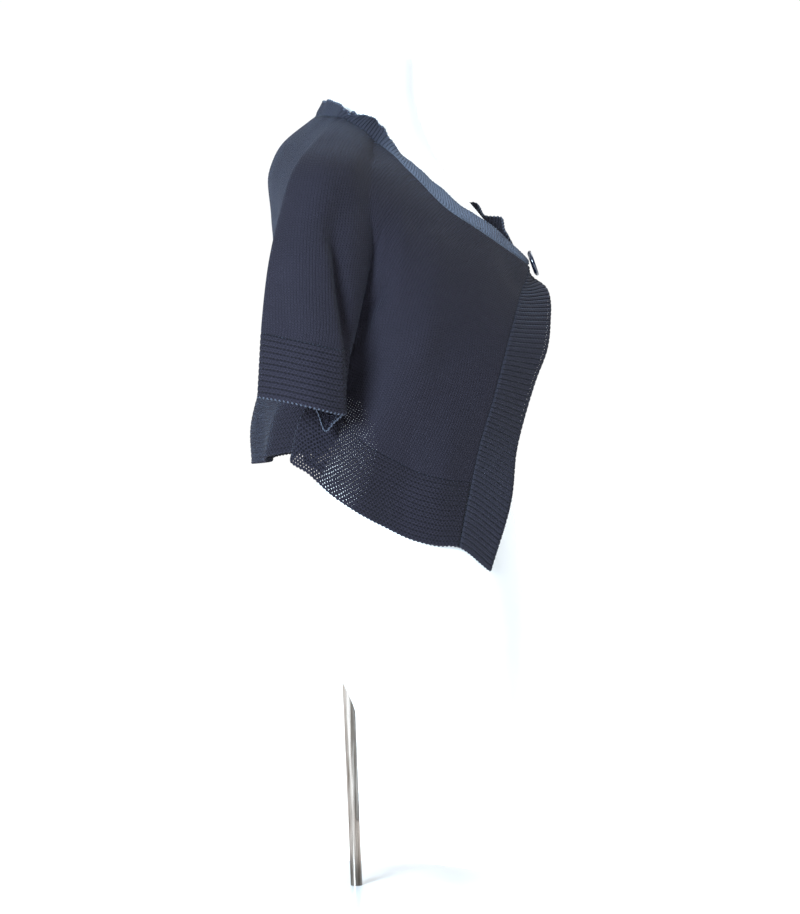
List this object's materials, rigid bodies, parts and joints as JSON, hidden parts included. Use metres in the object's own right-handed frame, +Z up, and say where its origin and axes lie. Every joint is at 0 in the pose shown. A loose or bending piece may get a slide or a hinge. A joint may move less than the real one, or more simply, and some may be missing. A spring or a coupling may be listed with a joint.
{
  "type": "knitted shrug on a dress form",
  "caption": "Short-sleeved ruffle-necked knitted shrug, closed by one button at the chest, worn by a smooth limbless dress form on a steel rod with a round base.",
  "frame": {"origin": "centre of the base's underside, below the rod's foot", "axes": "+Z up; -Y is the wearer's front; -X is the wearer's right"},
  "size_m": [0.4626, 0.3625, 0.876],
  "materials": {
    "knit": "matte navy cotton knit",
    "button": "glossy navy",
    "form": "smooth white, slightly satin",
    "rod": "polished bare steel",
    "base": "white enamel"
  },
  "bodies": {
    "root": {"back": "knit", "right_front": "knit", "left_front": "knit", "right_sleeve": "knit", "left_sleeve": "knit", "right_cuff": "knit", "left_cuff": "knit", "back_hem": "knit", "right_hem": "knit", "left_hem": "knit", "right_band": "knit", "left_band": "knit", "collar": "knit", "button": "button", "form": "form", "pole": "rod", "base": "base"}
  },
  "joints": []
}
